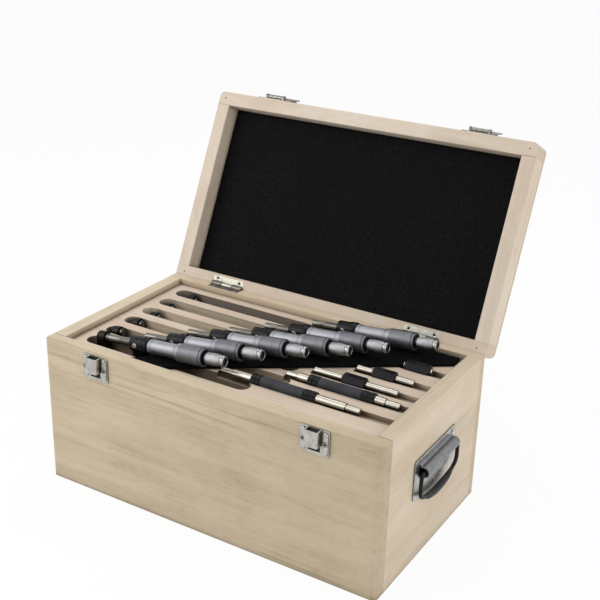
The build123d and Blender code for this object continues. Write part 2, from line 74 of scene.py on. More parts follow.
# ---- node materials ----
class Shader:
    """A Principled material and short calls that add nodes to it."""

    def __init__(self, name, color, rough=0.5, metal=0.0):
        self.mat = bpy.data.materials.new(name)
        self.mat.use_nodes = True
        self.tree = self.mat.node_tree
        self.bsdf = self.tree.nodes["Principled BSDF"]
        self.bsdf.inputs["Base Color"].default_value = (*color, 1)
        self.bsdf.inputs["Roughness"].default_value = rough
        self.bsdf.inputs["Metallic"].default_value = metal
        self.mat.diffuse_color = (*color, 1)

    def add(self, kind, **inputs):
        """New node, its inputs set or linked by name, or by number as i0, i1 and so on."""
        node = self.tree.nodes.new(kind)
        for key, value in inputs.items():
            self.put(node, key, value)
        return node

    def put(self, node, key, value):
        name = key.replace("_", " ") if isinstance(key, str) else key
        if isinstance(key, str) and key[0] == "i" and key[1:].isdigit():
            name = int(key[1:])
        socket = node.inputs[name]
        if hasattr(value, "is_output"):
            self.tree.links.new(value, socket)
        else:
            socket.default_value = value

    def math(self, op, a, b=None):
        node = self.tree.nodes.new("ShaderNodeMath")
        node.operation = op
        self.put(node, "i0", a)
        if b is not None:
            self.put(node, "i1", b)
        return node.outputs[0]

    def coords(self, scale=(1, 1, 1), turn=(0, 0, 0), move=(0, 0, 0)):
        """Object coordinates, turned first and then stretched."""
        source = self.add("ShaderNodeTexCoord").outputs["Object"]
        if any(turn):
            source = self.add("ShaderNodeMapping", Vector=source, Rotation=turn).outputs[0]
        return self.add("ShaderNodeMapping", Vector=source, Location=move, Scale=scale).outputs[0]

    def noise(self, vector, scale, detail=4.0, rough=0.55, distortion=0.0):
        node = self.add("ShaderNodeTexNoise", Vector=vector, Scale=scale, Detail=detail,
                        Roughness=rough, Distortion=distortion)
        return node.outputs["Fac"]

    def ramp(self, fac, stops):
        node = self.add("ShaderNodeValToRGB", Fac=fac)
        marks = node.color_ramp.elements
        while len(marks) < len(stops):
            marks.new(0.5)
        for element, (place, color) in zip(marks, stops):
            element.position = place
            element.color = (*color, 1)
        return node.outputs[0]

    def grey(self, fac, low, high, a=0.0, b=1.0):
        """Map fac from low..high to a..b."""
        node = self.add("ShaderNodeMapRange", Value=fac)
        for i, v in zip((1, 2, 3, 4), (low, high, a, b)):
            node.inputs[i].default_value = v
        return node.outputs[0]

    def mix(self, fac, a, b, mode="MIX"):
        node = self.tree.nodes.new("ShaderNodeMix")
        node.data_type = "RGBA"
        node.blend_type = mode
        for i, value in ((0, fac), (6, a), (7, b)):
            if isinstance(value, tuple) and len(value) == 3:
                value = (*value, 1)
            self.put(node, f"i{i}", value)
        return node.outputs[2]

    def shade_gaps(self, reach, tint, low=0.0):
        """Blend towards tint in corners and hollows narrower than reach, in millimetres."""
        node = self.add("ShaderNodeAmbientOcclusion", Distance=reach * MM)
        node.samples = 8
        open_air = self.grey(node.outputs["AO"], 0.3, 0.92, low, 1.0)
        self.color(self.mix(open_air, tint, self.colored()))

    def colored(self):
        """The socket that gives the base colour so far."""
        return self.bsdf.inputs["Base Color"].links[0].from_socket

    def color(self, value):
        self.put(self.bsdf, "Base Color", value)

    def rough(self, value):
        self.put(self.bsdf, "Roughness", value)

    def bump(self, height, distance, strength=1.0):
        node = self.add("ShaderNodeBump", Height=height, Distance=distance, Strength=strength)
        old = self.bsdf.inputs["Normal"]
        if old.is_linked:
            self.put(node, "Normal", old.links[0].from_socket)
        self.put(self.bsdf, "Normal", node.outputs[0])


def srgb(r, g, b):
    """Linear colour from 8-bit values."""
    return tuple(((c / 255 + 0.055) / 1.055) ** 2.4 if c > 10 else c / 3294.6
                 for c in (r, g, b))


def scaled(color, k):
    return tuple(c * k for c in color)


def mixed(a, b, k):
    return tuple(p + (q - p) * k for p, q in zip(a, b))


# The grain's ways: the turn that lays it along X, and the way that the sawn ends face.
GRAIN = {
    "X": ((0, 0, 0), (1, 0, 0)),
    "Y": ((0, 0, radians(-90)), (0, 1, 0)),
    "up the lid": ((radians(LID_OPEN), 0, radians(-90)),
                   (0, cos(radians(LID_OPEN)), -sin(radians(LID_OPEN)))),
}


def wood(name, grain, seed, pale, dark, contrast):
    """Plain-sawn pale wood: bands, veins, fibres and pores along the board, with patches, a
    reddish blush and dark streaks."""
    s = Shader(name, pale, 0.6)
    turn, end = GRAIN[grain]
    place = (seed * 0.37 % 1.0, seed * 0.113 % 0.3 + 0.05, seed * 0.231 % 0.2 + 0.06)

    def layer(stretch, scale, detail, rough, distortion=0.0, skew=0.0):
        where = s.coords(stretch, (turn[0], turn[1], turn[2] + skew), place)
        return s.noise(where, scale, detail, rough, distortion)

    bands = layer((0.7, 9, 9), 4.0, 4.0, 0.55, 0.6)
    vein = layer((1.1, 46, 46), 5.0, 5.0, 0.62, 0.25)
    fibre = layer((6, 240, 240), 5.0, 4.0, 0.7)
    fleck = layer((9, 60, 60), 3.0, 3.0, 0.6, skew=0.5)
    pore = layer((30, 900, 900), 2.0, 2.0, 0.5)
    patch = layer((5, 9, 9), 3.0, 3.0, 0.5)
    streak = layer((1.6, 60, 60), 2.0, 3.0, 0.5, skew=0.03)
    blush = s.noise(s.coords((4, 8, 8), turn, (place[1], place[2], place[0])), 4.0, 3.0, 0.5)
    tone = s.grey(bands, 0.28, 0.72, 0.0, 0.55)
    for fac, low, high, a, b in ((vein, 0.3, 0.7, -0.1 * contrast, 0.2 * contrast),
                                 (fibre, 0.3, 0.7, -0.1 * contrast, 0.14 * contrast),
                                 (fleck, 0.5, 0.8, 0.0, 0.28 * contrast),
                                 (patch, 0.3, 0.7, -0.2, 0.24)):
        tone = s.math("ADD", tone, s.grey(fac, low, high, a, b))
    color = s.ramp(tone, [(0.0, pale), (0.55, mixed(pale, dark, 0.5)), (1.0, dark)])
    for fac, low, high, most, tint in ((blush, 0.5, 0.72, 0.3, (0.60, 0.44, 0.33)),
                                       (streak, 0.62, 0.69, 0.34 * contrast, scaled(dark, 0.62)),
                                       (pore, 0.66, 0.76, 0.3 * contrast, scaled(dark, 0.7))):
        color = s.mix(s.grey(fac, low, high, 0.0, most), color, tint)
    normal = s.add("ShaderNodeTexCoord").outputs["Normal"]
    face = s.add("ShaderNodeVectorMath", i0=normal, i1=end)
    face.operation = "DOT_PRODUCT"
    cut = s.grey(s.math("ABSOLUTE", face.outputs["Value"]), 0.55, 0.95, 0.0, 0.5)
    pits = s.noise(s.coords(), 900.0, 3.0, 0.6)
    grain_end = s.ramp(pits, [(0.35, scaled(dark, 0.68)), (0.65, mixed(pale, dark, 0.7))])
    s.color(s.mix(cut, color, grain_end))
    s.shade_gaps(5.0, scaled(dark, 0.3), 0.25)
    s.rough(s.grey(fibre, 0.2, 0.8, 0.5, 0.66))
    s.bump(fibre, 0.00005, 0.5)
    s.bump(pore, 0.00005, 0.4)
    return s


def slotted(s):
    """Router-cut walls of the tray, pale, with painted shade: brown in front and grey in the last
    slot.
    """
    source = s.add("ShaderNodeTexCoord")
    normal = s.add("ShaderNodeSeparateXYZ", Vector=source.outputs["Normal"])
    place = s.add("ShaderNodeSeparateXYZ", Vector=source.outputs["Object"])
    upright = s.grey(s.math("ABSOLUTE", normal.outputs["Z"]), 0.3, 0.8, 0.8, 0.0)
    back = s.grey(place.outputs["Y"], -0.075, 0.075)
    grain = s.noise(s.coords((4, 60, 90)), 5.0, 4.0, 0.6)
    # painted shade along Y: dark brown at the front, pale in the middle, grey at the back
    wall_tone_and_shade = s.ramp(back, [(0.12, srgb(70, 51, 39)), (0.27, srgb(168, 150, 124)),
                         (0.55, srgb(214, 198, 172)), (0.74, srgb(218, 203, 178)),
                         (0.9, srgb(78, 76, 70))])
    wall_tone_and_shade = s.mix(s.grey(grain, 0.4, 0.75, 0.0, 0.4), wall_tone_and_shade, srgb(92, 74, 56))
    s.color(s.mix(upright, s.colored(), wall_tone_and_shade))
    s.shade_gaps(6.0, srgb(44, 33, 24), 0.05)


def foam(name, tone, grain=1100.0):
    """Black open-cell foam: fine cells, a few larger ones, a little dust."""
    s = Shader(name, tone, 0.95)
    where = s.coords()
    cell = s.add("ShaderNodeTexVoronoi", Vector=where, Scale=grain)
    big = s.noise(where, grain * 0.35, 3.0, 0.6)
    patch = s.noise(where, 14.0, 3.0, 0.5)
    fleck = s.grey(cell.outputs["Distance"], 0.15, 0.75, 0.55, 1.5)
    color = s.ramp(s.math("MULTIPLY", fleck, s.grey(big, 0.35, 0.7, 0.5, 1.25)),
                   [(0.15, scaled(tone, 0.4)), (0.6, tone), (1.0, scaled(tone, 2.2))])
    s.color(s.mix(s.grey(patch, 0.35, 0.65, 0.0, 0.35), color, scaled(tone, 1.35)))
    s.bsdf.inputs["Specular IOR Level"].default_value = 0.03
    s.bump(cell.outputs["Distance"], 0.0003, 0.8)
    s.bump(big, 0.0004, 0.6)
    return s.mat


def satin(name, tone, rough, ring_mm=0.12, wear=0.12, reach=3.5):
    """Turned and matt-chromed steel: fine rings round the X axis and cloudy roughness."""
    s = Shader(name, tone, rough, 1.0)
    where = s.coords()
    cloud = s.noise(where, 160.0, 4.0, 0.6)
    turned = s.noise(s.coords((1.0 / (ring_mm * MM), 60, 60)), 1.0, 2.0, 0.5)
    s.color(s.ramp(cloud, [(0.3, scaled(tone, 1 - wear)), (0.7, scaled(tone, 1 + wear))]))
    s.shade_gaps(reach, scaled(tone, 0.12))
    s.rough(s.grey(cloud, 0.3, 0.7, rough - 0.06, rough + 0.08))
    s.bump(turned, 0.00001, 0.6)
    return s.mat


def plated(name, tone, rough):
    """Nickel-plated pressed sheet: clouded shine and hair scratches."""
    s = Shader(name, tone, rough, 1.0)
    where = s.coords()
    cloud = s.noise(where, 220.0, 5.0, 0.65)
    hair = s.noise(s.coords((60, 900, 900), (0.3, 0.2, 0.9)), 3.0, 3.0, 0.6)
    s.color(s.ramp(cloud, [(0.3, scaled(tone, 0.72)), (0.7, scaled(tone, 1.2))]))
    s.shade_gaps(2.6, scaled(tone, 0.03))
    s.rough(s.grey(hair, 0.35, 0.7, rough - 0.1, rough + 0.16))
    s.bump(hair, 0.00002, 0.5)
    s.bump(cloud, 0.00004, 0.35)
    return s.mat


def enamel(name, tone, rough):
    """Stove enamel or moulded plastic: fine orange peel over a dark ground."""
    s = Shader(name, tone, rough)
    where = s.coords()
    peel = s.noise(where, 900.0, 3.0, 0.5)
    cloud = s.noise(where, 60.0, 4.0, 0.6)
    s.color(s.ramp(cloud, [(0.3, scaled(tone, 0.75)), (0.75, scaled(tone, 1.6))]))
    s.rough(s.grey(peel, 0.3, 0.7, rough - 0.08, rough + 0.1))
    s.bsdf.inputs["Specular IOR Level"].default_value = 0.16
    s.bump(peel, 0.00006, 0.5)
    return s.mat


# ---- mesh helpers ----
def placed(name, data, matrix=Matrix()):
    obj = bpy.data.objects.new(name, data)
    bpy.context.scene.collection.objects.link(obj)
    obj.matrix_world = matrix
    return obj


def shift(x, y, z):
    """A move in millimetres."""
    return Matrix.Translation((x * MM, y * MM, z * MM))


def turned(y, z, degrees):
    """A turn round the line along X at y and z."""
    return shift(0, y, z) @ Matrix.Rotation(radians(degrees), 4, "X") @ shift(0, -y, -z)


def band(here, there, count):
    """Quads between two rings of points, from the index of each ring's first."""
    return [(here + k, here + (k + 1) % count, there + (k + 1) % count, there + k)
            for k in range(count)]


def ease(obj, width, segments=2):
    """Round the sharp edges over a width in millimetres."""
    bevel = obj.modifiers.new("ease", "BEVEL")
    bevel.width = width * MM
    bevel.segments = segments
    bevel.limit_method = "ANGLE"
    return bevel


def piece(name, verts, faces, mats, matrix=Matrix(), angle=32, slots=None):
    """A piece from millimetre points, sharp past angle; slots gives each face's material."""
    mesh = bpy.data.meshes.new(name)
    mesh.from_pydata([tuple(c * MM for c in v) for v in verts], [], faces)
    for mat in mats:
        mesh.materials.append(mat)
    if slots:
        mesh.polygons.foreach_set("material_index", slots)
    mesh.update()
    mesh.shade_smooth()
    mesh.set_sharp_from_angle(angle=radians(angle))
    return placed(name, mesh, matrix)


CLOSED_R = 0.02  # a profile that ends below this radius needs no end face


def lathe(name, rows, mats, matrix, steps, body, knurl=None, angle=32):
    """Turn (x, r) or (x, r, slot) rows round the X axis. knurl(x, turn) scales the radius."""
    rows = [(*row, 0)[:3] for row in rows]
    verts, faces, slots = [], [], []
    for x, r, _ in rows:
        for k in range(steps):
            turn = 2 * pi * k / steps
            rr = r * (knurl(x, turn) if knurl else 1.0)
            verts.append((x, rr * cos(turn), rr * sin(turn)))
    for i in range(len(rows) - 1):
        faces += band(i * steps, (i + 1) * steps, steps)
        slots += [rows[i + 1][2]] * steps
    for i, flip in ((0, True), (len(rows) - 1, False)):
        if rows[i][1] > CLOSED_R:
            ring = list(range(i * steps, (i + 1) * steps))
            faces.append(ring[::-1] if flip else ring)
            slots.append(rows[i][2])
    faces = [f[::-1] for f in faces]
    obj = piece(name, verts, faces, mats, matrix, angle, slots)
    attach(obj, body)
    return obj


def rounded_box(name, lo, hi, radius, mats, matrix=Matrix(), cells=1.0, shape=None):
    """Box with rounded edges as a subdivided grid; shape(x, y, z) may move each point."""
    size = [b - a for a, b in zip(lo, hi)]
    counts = [max(2, ceil(s / cells)) for s in size]
    verts, faces, index = [], [], {}

    def vertex(key):
        if key not in index:
            index[key] = len(verts)
            verts.append([a + s * k / n for a, s, k, n in zip(lo, size, key, counts)])
        return index[key]

    for axis in range(3):
        u, v = [a for a in range(3) if a != axis]
        for side, i, j in product((0, counts[axis]), range(counts[u]), range(counts[v])):
            quad = []
            for di, dj in ((0, 0), (1, 0), (1, 1), (0, 1)):
                key = [0, 0, 0]
                key[axis], key[u], key[v] = side, i + di, j + dj
                quad.append(vertex(tuple(key)))
            outward = (side > 0) != (axis == 1)
            faces.append(quad if outward else quad[::-1])
    for p in verts:
        inner = [min(max(c, a + radius), b - radius) for c, a, b in zip(p, lo, hi)]
        out = [c - i for c, i in zip(p, inner)]
        length = hypot(*out)
        if length > 1e-9:
            p[:] = [i + o * radius / length for i, o in zip(inner, out)]
        if shape:
            p[:] = shape(*p)
    return piece(name, verts, faces, mats, matrix, 60)


def lid_matrix():
    """Shut lid to open lid."""
    return turned(PIN_Y, PIN_Z, -LID_OPEN)


def seat(n):
    """Micrometer n's own axis, with the thimble's right end at the origin."""
    height = TRAY_TOP + PAD_T + HEAD_GAP + THIMBLE_R + THIMBLE_L * sin(radians(TILT[n]))
    return shift(HEAD_X[n], HEAD_Y[n], height) @ Matrix.Rotation(radians(-TILT[n]), 4, "Y")


WELD = 0.000005  # metres; joins the doubled points of a CAD mesh
EASED_ANGLE = 35  # degrees; softer edges than this stay as they are


def dress(name, mat, bevel):
    """Give a CAD node its material and ease its sharp edges by bevel millimetres."""
    obj = nodes[name]
    obj.data.materials.clear()
    obj.data.materials.append(mat)
    weld = obj.modifiers.new("weld", "WELD")
    weld.merge_threshold = WELD
    ease(obj, bevel).angle_limit = radians(EASED_ANGLE)


# ---- wood ----
PALE = srgb(216, 201, 178)
DARK = srgb(184, 162, 131)
SIDE = (srgb(212, 197, 175), srgb(186, 167, 141))
RIM = (srgb(219, 205, 188), srgb(190, 170, 146))
# Each board: its grain, its seed, its pale and dark tones and its contrast.
BOARDS = {
    "front_panel": ("X", 1, srgb(207, 192, 164), srgb(172, 152, 122), 1.1),
    "back_panel": ("X", 2, PALE, DARK, 1.0),
    "left_panel": ("Y", 3, PALE, DARK, 0.9),
    "right_panel": ("Y", 4, *SIDE, 0.8),
    "bottom_panel": ("X", 5, PALE, DARK, 0.9),
    "lid_front_rail": ("X", 6, *RIM, 1.0),
    "lid_rear_rail": ("X", 7, *RIM, 1.0),
    "lid_left_rail": ("up the lid", 8, *RIM, 1.0),
    "lid_right_rail": ("up the lid", 9, *RIM, 0.9),
    "lid_panel": ("X", 10, PALE, DARK, 1.0),
    "tray_board": ("X", 11, srgb(214, 198, 180), srgb(190, 168, 144), 0.7),
    "tray_cleats": ("Y", 12, PALE, DARK, 0.8),
    "frame_rest_block": ("X", 13, srgb(78, 60, 46), srgb(52, 39, 29), 0.9),
}


def dress_wood():
    for name, board in BOARDS.items():
        shader = wood("wood_" + name, *board)
        if name == "tray_board":
            slotted(shader)
        dress(name, shader.mat, 0.35)


NAILS = {"left_rear": (-150, 84.5), "right_rear": (150, 84.5),
         "left_front": (-152, -85), "right_front": (152, -85)}


def nails():
    """Brad heads sunk at the ends of the lid's long rails."""
    steel = Shader("nail_steel", srgb(84, 68, 52), 0.55, 0.5).mat
    rows = [(-0.5, 0.7), (0.02, 0.7), (0.06, 0.55), (0.06, 0.0)]
    for name, (x, y) in NAILS.items():
        stand = lid_matrix() @ shift(x, y, LID_Z0) @ Matrix.Rotation(radians(90), 4, "Y")
        lathe("nail_" + name, rows, [steel], stand, 20, "lid")


# ---- soft pieces ----
LINING_GAP = 0.2  # all round, between the lining and the lid's rails


def lid_lining():
    """Foam sheet between the lid's rails, its border rounded and its face uneven."""

    def waves(x, y, z):
        depth = (RAIL_TOP - z) / LID_FOAM_T
        long_wave = 0.10 * sin(x * 0.09 + 1.3 * sin(y * 0.05))
        cross_wave = 0.08 * sin(y * 0.13 + 0.7 * sin(x * 0.07))
        return x, y, z + (long_wave + cross_wave) * depth

    skin = foam("lid_foam_black", (0.0052, 0.0052, 0.0053))
    far_x, far_y = IN_X - LINING_GAP, IN_Y - LINING_GAP
    lining = rounded_box("lid_lining", (-far_x, -far_y, RAIL_TOP - LID_FOAM_T),
                         (far_x, far_y, RAIL_TOP), 1.1, [skin], lid_matrix(), 3.0, waves)
    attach(lining, "lid")
    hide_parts("lid_foam")


STRIP_Y = (-75.0, 76.0)  # its front and back edges
STRIP_LEFT, LEFT_SLOPE = -4.024, 1.016  # its left edge at Y = 0, and X gained per Y
STRIP_RIGHT, RIGHT_SLOPE = (-10.5, -46.7), 1.39  # a point of its right edge, and the slope
STRIP_END_X = 142.0
NOTCH = (107.4, 47.2)  # the strip is cut back here, clear of the 25 mm standard


def right_x(y):
    return STRIP_RIGHT[0] + RIGHT_SLOPE * (y - STRIP_RIGHT[1])


def right_y(x):
    return (x - STRIP_RIGHT[0]) / RIGHT_SLOPE + STRIP_RIGHT[1]


def thimble_strip():
    """Foam strip under the thimbles, cut on a slant along the row of heads."""
    front, back = STRIP_Y
    outline = [(STRIP_LEFT + LEFT_SLOPE * front, front), (right_x(front), front),
               (NOTCH[0], right_y(NOTCH[0])), NOTCH, (right_x(NOTCH[1]), NOTCH[1]),
               (STRIP_END_X, right_y(STRIP_END_X)), (STRIP_END_X, back),
               (STRIP_LEFT + LEFT_SLOPE * back, back)]
    count = len(outline)
    verts = [(x, y, z) for z in (TRAY_TOP, TRAY_TOP + PAD_T) for x, y in outline]
    faces = [tuple(range(count))[::-1], tuple(range(count, 2 * count)), *band(0, count, count)]
    skin = foam("strip_foam_black", (0.0030, 0.0030, 0.0031), 1500.0)
    strip = piece("thimble_strip", verts, faces, [skin], angle=60)
    ease(strip, 0.7, 3)
    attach(strip, "case")
    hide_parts("thimble_pad")


# ---- screws ----
SCREW_R = 1.9
ARM_HALF, ARM_LONG = 0.3, 0.72  # a recess's arms, in screw radii like all of these
TAPER, STAR_RISE = 0.8, 0.09
CROWN = ((0.86, 0.13), (0.95, 0.06), (1.18, 0.015), (0.9, -0.3))  # radii and heights
SHANK_R, SHANK_Z = 0.5, -4.0  # the second in millimetres
DEEP, SHALLOW = -0.55, 0.04  # a recess's floor above the sheet round the screw
DARK_RINGS = (0, 3)  # painted shade on the floor and walls of a screw's recess, and painted shadow on a ring round the edge of its hole

HINGE_SCREW = (12.0, 83.0)  # X from the hinge's middle, and Y
SUNK = 0.2  # the hinges' screws lie under the leaves' faces, which meet when shut
KEEPER_SCREW_X, KEEPER_Z = 9.4, 119.3
BASE_SCREW_X, BASE_T = 12.4, 1.0
HANDLE_SCREWS = ((-29.0, 89.5), (29.0, 89.5), (0.0, 61.6))  # Y from the plate's middle, Z
PLATE_T = 1.2
RIB_FACE = 1.9  # the keepers' pressed ribs stand this far off the wood


def phillips(at, out, floor, spin):
    """Countersunk cross-head screw: vertices from the recess to the shank, faces and slots."""
    w, reach = ARM_HALF * SCREW_R, ARM_LONG * SCREW_R
    cross = []
    for q in range(4):
        c, s = cos(q * pi / 2), sin(q * pi / 2)
        for x, y in ((reach, -w), (reach, w), (w, w)):
            cross.append((x * c - y * s, x * s + y * c))
    mids = [((a[0] + b[0]) / 2, (a[1] + b[1]) / 2)
            for a, b in zip(cross, cross[1:] + cross[:1])]
    star = [p for pair in zip(cross, mids) for p in pair]
    turns = [atan2(y, x) for x, y in star]
    rings = [([(TAPER * x, TAPER * y) for x, y in star], floor * SCREW_R),
             (star, STAR_RISE * SCREW_R)]
    for k, z in [(k, z * SCREW_R) for k, z in CROWN] + [(SHANK_R, SHANK_Z)]:
        rings.append(([(k * SCREW_R * cos(t), k * SCREW_R * sin(t)) for t in turns], z))
    z_axis = Vector(out).normalized()
    x_axis = z_axis.orthogonal().normalized()
    y_axis = z_axis.cross(x_axis)
    verts = []
    for ring, z in rings:
        for x, y in ring:
            u = x * cos(spin) - y * sin(spin)
            v = x * sin(spin) + y * cos(spin)
            verts.append(tuple(Vector(at) + x_axis * u + y_axis * v + z_axis * z))
    n = len(star)
    faces, slots = [tuple(range(n))], [1]
    for i in range(len(rings) - 1):
        here, there = i * n, (i + 1) * n
        faces += [(here + k, there + k, there + (k + 1) % n, here + (k + 1) % n)
                  for k in range(n)]
        slots += [1 if i in DARK_RINGS else 0] * n
    faces.append(tuple(range(there, there + n))[::-1])
    return verts, faces, [*slots, 0]


def screw_set(name, places, node, body, matrix=Matrix()):
    """One piece for a body's screws, each with its place, way out and recess floor."""
    verts, faces, slots = [], [], []
    for i, (at, out, floor) in enumerate(places):
        more, quads, marks = phillips(at, out, floor, 0.4 + 0.9 * i)
        faces += [tuple(k + len(verts) for k in f) for f in quads]
        verts += more
        slots += marks
    steel = plated("screw_steel", srgb(196, 192, 184), 0.3)
    # near-black for the recesses and the ring round each head: painted shade
    screw_shade = enamel("screw_painted_shade", (0.012, 0.010, 0.008), 0.6)
    obj = piece(name, verts, faces, [steel, screw_shade], matrix, 30, slots)
    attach(obj, body)
    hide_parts(node)


def pair_of_screws(middles, dx, y, z, out, floor):
    return [((x + s * dx, y, z), out, floor) for x in middles for s in (-1, 1)]


def all_screws():
    hinge_x, hinge_y = HINGE_SCREW
    front = (0, -1, 0)
    keeper = pair_of_screws(LATCH_X, KEEPER_SCREW_X, FRONT - RIB_FACE, KEEPER_Z, front, SHALLOW)
    hinge = pair_of_screws(HINGE_X, hinge_x, hinge_y, HEIGHT - SUNK, (0, 0, 1), DEEP)
    handle = [((side * (HALF_X + PLATE_T), HANDLE_Y + dy, z), (side, 0, 0), SHALLOW)
              for side in (-1, 1) for dy, z in HANDLE_SCREWS]
    screw_set("case_screw_heads", keeper + hinge + handle, "case_screws", "case")
    base = pair_of_screws(LATCH_X, BASE_SCREW_X, FRONT - BASE_T, LATCH_PIN_Z, front, SHALLOW)
    lid_hinge = pair_of_screws(HINGE_X, hinge_x, hinge_y, LID_Z0 + SUNK, (0, 0, -1), DEEP)
    screw_set("lid_screw_heads", base + lid_hinge, "lid_screws", "lid", lid_matrix())


# ---- hardware ----
def rounded_path(points, radii, steps=8):
    """Straight runs between points in a plane, each corner eased over its own radius."""
    path = [points[0]]
    for before, corner, after, radius in zip(points, points[1:], points[2:], radii):
        ends = []
        for other in (before, after):
            dy, dz = other[0] - corner[0], other[1] - corner[1]
            way = hypot(dy, dz)
            k = min(radius, 0.48 * way) / way
            ends.append((corner[0] + dy * k, corner[1] + dz * k))
        for i in range(steps + 1):
            t = i / steps
            path.append(tuple((1 - t) ** 2 * a + 2 * t * (1 - t) * c + t * t * b
                              for a, c, b in zip(ends[0], corner, ends[1])))
    return path + [points[-1]]


def rod_along(name, x, path, girth, mats, body, steps=20):
    """Round bar along (y, z) points at x; girth(t) gives its half width and half height."""
    verts, faces, last = [], [], len(path) - 1
    for i, (y, z) in enumerate(path):
        dy, dz = (a - b for a, b in zip(path[min(i + 1, last)], path[max(i - 1, 0)]))
        way = hypot(dy, dz)
        wide, high = girth(i / last)
        for k in range(steps):
            turn = 2 * pi * k / steps
            out = high * sin(turn)
            verts.append((x + wide * cos(turn), y - out * dz / way, z + out * dy / way))
    for i in range(last):
        faces += band(i * steps, (i + 1) * steps, steps)
    faces += [tuple(range(steps))[::-1], tuple(range(last * steps, (last + 1) * steps))]
    obj = piece(name, verts, faces, mats, angle=40)
    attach(obj, body)
    return obj


BAIL_Z, BAIL_X, BAIL_R = 82.0, HALF_X + 5.4, 1.6
BOW = [(18.0, BAIL_Z), (33.0, BAIL_Z), (33.3, 62.2), (13.5, 54.6)]  # half of it: Y and Z
BOW_CURVES = [4.5, 6.0, 12.0]
GRIP_END = (29.0, 60.55)
GRIP_R = (2.9, 3.3)
GRIP_THIN, GRIP_BLUNT, GRIP_ROUND = 0.72, 0.55, 0.04  # shares of its girth and of its length


def mirrored(half):
    """The whole bow's points."""
    return [(HANDLE_Y - y, z) for y, z in half] + [(HANDLE_Y + y, z) for y, z in half[::-1]]


def grip_girth(t):
    rounding = max(min(1.0, (min(t, 1 - t) / GRIP_ROUND) ** 0.5), GRIP_BLUNT)
    bulge = (GRIP_THIN + (1 - GRIP_THIN) * sin(pi * t)) * rounding
    return GRIP_R[0] * bulge, GRIP_R[1] * bulge


def bail_and_grip(side, sign, wire, rubber):
    """Thin wire bow that leaves the plate's barrel at its ends, with a slim moulded grip."""
    path = rounded_path(mirrored(BOW), BOW_CURVES + BOW_CURVES[::-1])
    bail = rod_along("bail_wire_" + side, sign * BAIL_X, path, lambda t: (BAIL_R, BAIL_R),
                     [wire], "handle_" + side)
    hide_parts("bail_" + side)
    path = rounded_path(mirrored([GRIP_END, BOW[-1]]), [BOW_CURVES[-1]] * 2, 14)
    grip = rod_along("grip_cover_" + side, sign * BAIL_X, path, grip_girth, [rubber],
                     "handle_" + side, 28)
    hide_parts("grip_" + side)


PLATE_HALF, PLATE_Z, PLATE_CORNER = 36.5, (58.5, 93.0), 3.0
BARREL_X, BARREL_HALF = HALF_X + 4.9, 28.4
BARREL_OUT, BARREL_IN = (4.3, 4.5), (3.3, 3.5)
BARREL_WRAP = 118  # degrees of it on each side of its outermost line
LIP_OUT, LIP_IN = (75.6, 88.4), (77.0, 87.0)  # its edges' Z on the plate


def plate_and_barrel(side, sign, sheet, dark):
    """Pressed sheet with a hollow half-round barrel that hides the bail's ends."""
    plate = rounded_box("plate_sheet_" + side, (HALF_X, HANDLE_Y - PLATE_HALF, PLATE_Z[0]),
                        (HALF_X + PLATE_T, HANDLE_Y + PLATE_HALF, PLATE_Z[1]), 0.35, [sheet],
                        cells=1.5, shape=plate_corner)
    turns = arc(-BARREL_WRAP, BARREL_WRAP, 22)
    outer = [(BARREL_X + BARREL_OUT[0] * cos(a), BAIL_Z + BARREL_OUT[1] * sin(a)) for a in turns]
    inner = [(BARREL_X + BARREL_IN[0] * cos(a), BAIL_Z + BARREL_IN[1] * sin(a))
             for a in arc(BARREL_WRAP, -BARREL_WRAP, 22)]
    foot = HALF_X + 1.0
    profile = [(foot, LIP_OUT[0]), *outer, (foot, LIP_OUT[1]), (foot, LIP_IN[1]), *inner,
               (foot, LIP_IN[0])]
    count = len(profile)
    verts = [(x, HANDLE_Y + way * BARREL_HALF, z) for way in (-1, 1) for x, z in profile]
    faces = [tuple(range(count)), tuple(range(count, 2 * count))[::-1], *band(count, 0, count)]
    # the barrel takes the darker zinc, painted shade
    barrel = piece("plate_barrel_" + side, verts, faces, [dark], angle=40)
    for obj in (plate, barrel):
        if sign < 0:
            obj.data.transform(Matrix.Scale(-1, 4, (1, 0, 0)))
            obj.data.flip_normals()
        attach(obj, "case")
    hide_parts("handle_plate_" + side)


def arc(start, end, count):
    return [radians(start + (end - start) * i / count) for i in range(count + 1)]


SAG, SAG_TOP = 3.2, 68.0


def plate_corner(x, y, z):
    """Round the sheet's four corners and let its lower edge sag to the bow."""
    middle = (PLATE_Z[0] + PLATE_Z[1]) / 2
    flat_y, flat_z = PLATE_HALF - PLATE_CORNER, PLATE_Z[1] - middle - PLATE_CORNER
    dy, dz = abs(y - HANDLE_Y) - flat_y, abs(z - middle) - flat_z
    if dy > 0 and dz > 0:
        k = PLATE_CORNER / max(PLATE_CORNER, hypot(dy, dz))
        y = HANDLE_Y + (flat_y + dy * k) * (1 if y > HANDLE_Y else -1)
        z = middle + (flat_z + dz * k) * (1 if z > middle else -1)
    sag = SAG * (1 - min(1.0, abs(y - HANDLE_Y) / flat_y) ** 2.2)
    return x, y, z - sag * max(0.0, (SAG_TOP - z) / (SAG_TOP - PLATE_Z[0]))


def rounded_loop(x0, x1, z0, z1, r):
    """Rounded rectangle, anticlockwise from its lower right corner."""
    loop, steps = [], 6
    middles = ((x1 - r, z0 + r), (x1 - r, z1 - r), (x0 + r, z1 - r), (x0 + r, z0 + r))
    for q, (cx, cz) in enumerate(middles):
        for i in range(steps + 1):
            turn = pi / 2 * (q - 1 + i / steps)
            loop.append((cx + r * cos(turn), cz + r * sin(turn)))
    return loop


PIN = (FRONT - 3.4, LATCH_PIN_Z)  # Y and Z of the hasps' pins, with the lid shut
HASP_LEAN = 166.0  # the ring is cranked 4 degrees towards the wood from its barrel
